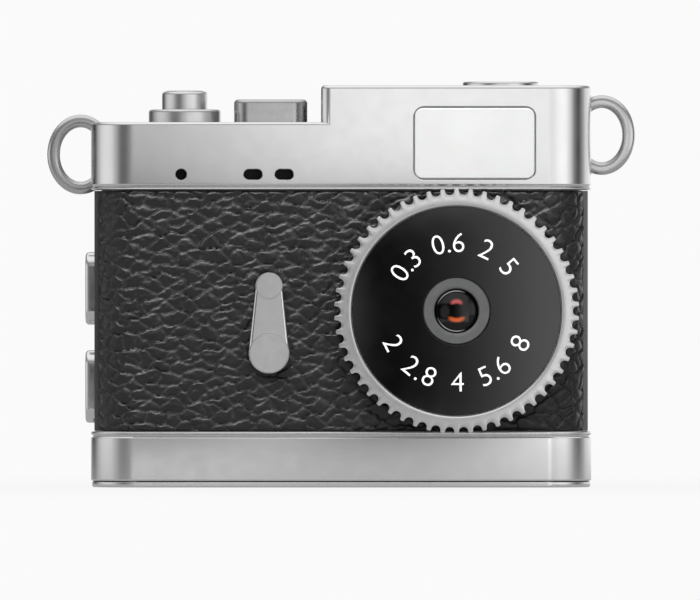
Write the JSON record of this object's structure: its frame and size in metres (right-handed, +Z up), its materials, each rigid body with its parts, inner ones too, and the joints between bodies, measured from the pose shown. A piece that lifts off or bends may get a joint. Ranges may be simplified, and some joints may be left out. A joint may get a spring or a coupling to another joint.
{
  "type": "miniature digital camera",
  "caption": "Miniature digital camera styled as a leather-covered rangefinder, with a toothed focus ring, push buttons, self-timer lever, memory card and strap loops.",
  "frame": {"origin": "centre of the base plate's lower face", "axes": "+Z up, front and lens face -Y, +X to the right seen from the front"},
  "size_m": [0.053, 0.0178, 0.0365],
  "materials": {
    "satin_plate": "satin plated",
    "bright_plate": "polished plated",
    "frosted_window": "frosted translucent",
    "leatherette": "pebbled black",
    "dial_black": "gloss black",
    "charcoal": "matte charcoal",
    "lens_glass": "coated glass",
    "black_plastic": "moulded",
    "circuit_board": "solder mask",
    "chip": "moulded",
    "battery_foil": "pouch foil",
    "lamp": "clear"
  },
  "bodies": {
    "camera_body": {"back_leatherette": "leatherette", "base_plate": "satin_plate", "base_screw_1": "bright_plate", "base_screw_2": "bright_plate", "base_screw_3": "bright_plate", "base_screw_4": "bright_plate", "battery": "battery_foil", "body_frame": "satin_plate", "bottom_cover": "satin_plate", "buzzer": "black_plastic", "card_socket": "bright_plate", "front_leatherette": "leatherette", "image_sensor": "chip", "indicator_lamp_left": "dial_black", "indicator_lamp_right": "dial_black", "infrared_filter": "lens_glass", "lens_board": "circuit_board", "lens_holder": "black_plastic", "lens_mount": "charcoal", "light_window": "frosted_window", "main_board": "circuit_board", "memory_chip": "chip", "microphone": "charcoal", "mode_switch": "chip", "power_switch": "chip", "processor": "chip", "ring_washer": "bright_plate", "shutter_collar": "bright_plate", "shutter_switch": "chip", "side_switch_board": "circuit_board", "side_switch_lower": "chip", "side_switch_upper": "chip", "status_lamp": "lamp", "strap_loop_left": "bright_plate", "strap_loop_right": "bright_plate", "top_board": "circuit_board", "top_cover": "satin_plate", "usb_socket": "bright_plate", "usb_tongue": "black_plastic", "window_lamp": "lamp", "window_light_board": "circuit_board"},
    "shutter_button": {"shutter_button": "bright_plate"},
    "mode_button": {"mode_button": "satin_plate"},
    "power_button": {"power_button": "satin_plate"},
    "side_button_upper": {"side_button_upper": "bright_plate"},
    "side_button_lower": {"side_button_lower": "bright_plate"},
    "focus_ring": {"toothed_ring": "satin_plate", "dial_face": "dial_black"},
    "lens_barrel": {"lens_barrel": "charcoal", "front_lens_element": "lens_glass", "rear_lens_element": "lens_glass", "lens_spacer": "charcoal"},
    "timer_lever": {"timer_lever": "satin_plate", "lever_pivot_cap": "bright_plate", "lever_tip_cap": "bright_plate", "lever_pin": "bright_plate"},
    "memory_card": {"memory_card": "black_plastic"}
  },
  "joints": [
    {"name": "shutter_press", "type": "slide", "parent": "camera_body", "child": "shutter_button", "axis": [0, 0, -1], "range_m": [0, 0.0005], "stiffness_N_per_m": 400},
    {"name": "mode_press", "type": "slide", "parent": "camera_body", "child": "mode_button", "axis": [0, 0, -1], "range_m": [0, 0.0004], "stiffness_N_per_m": 400},
    {"name": "power_press", "type": "slide", "parent": "camera_body", "child": "power_button", "axis": [0, 0, -1], "range_m": [0, 0.0003], "stiffness_N_per_m": 400},
    {"name": "side_press_upper", "type": "slide", "parent": "camera_body", "child": "side_button_upper", "axis": [1, 0, 0], "range_m": [0, 0.0004], "stiffness_N_per_m": 400},
    {"name": "side_press_lower", "type": "slide", "parent": "camera_body", "child": "side_button_lower", "axis": [1, 0, 0], "range_m": [0, 0.0004], "stiffness_N_per_m": 400},
    {"name": "focus_turn", "type": "hinge", "parent": "camera_body", "child": "focus_ring", "pos_m": [0.01035, -0.00735, 0.01584], "axis": [0, -1, 0], "range_deg": [0, 120]},
    {"name": "lens_focus", "type": "slide", "parent": "focus_ring", "child": "lens_barrel", "axis": [0, -1, 0], "range_m": [0, 0.00012]},
    {"name": "timer_swing", "type": "hinge", "parent": "camera_body", "child": "timer_lever", "pos_m": [-0.00646, -0.00705, 0.01206], "axis": [0, -1, 0], "range_deg": [0, 90]},
    {"name": "card_slide", "type": "slide", "parent": "camera_body", "child": "memory_card", "axis": [1, 0, 0], "range_m": [0, 0.016]}
  ],
  "couplings": [
    {"joint": "lens_focus", "follows": "focus_turn", "m_per_rad": 0.000055704}
  ]
}
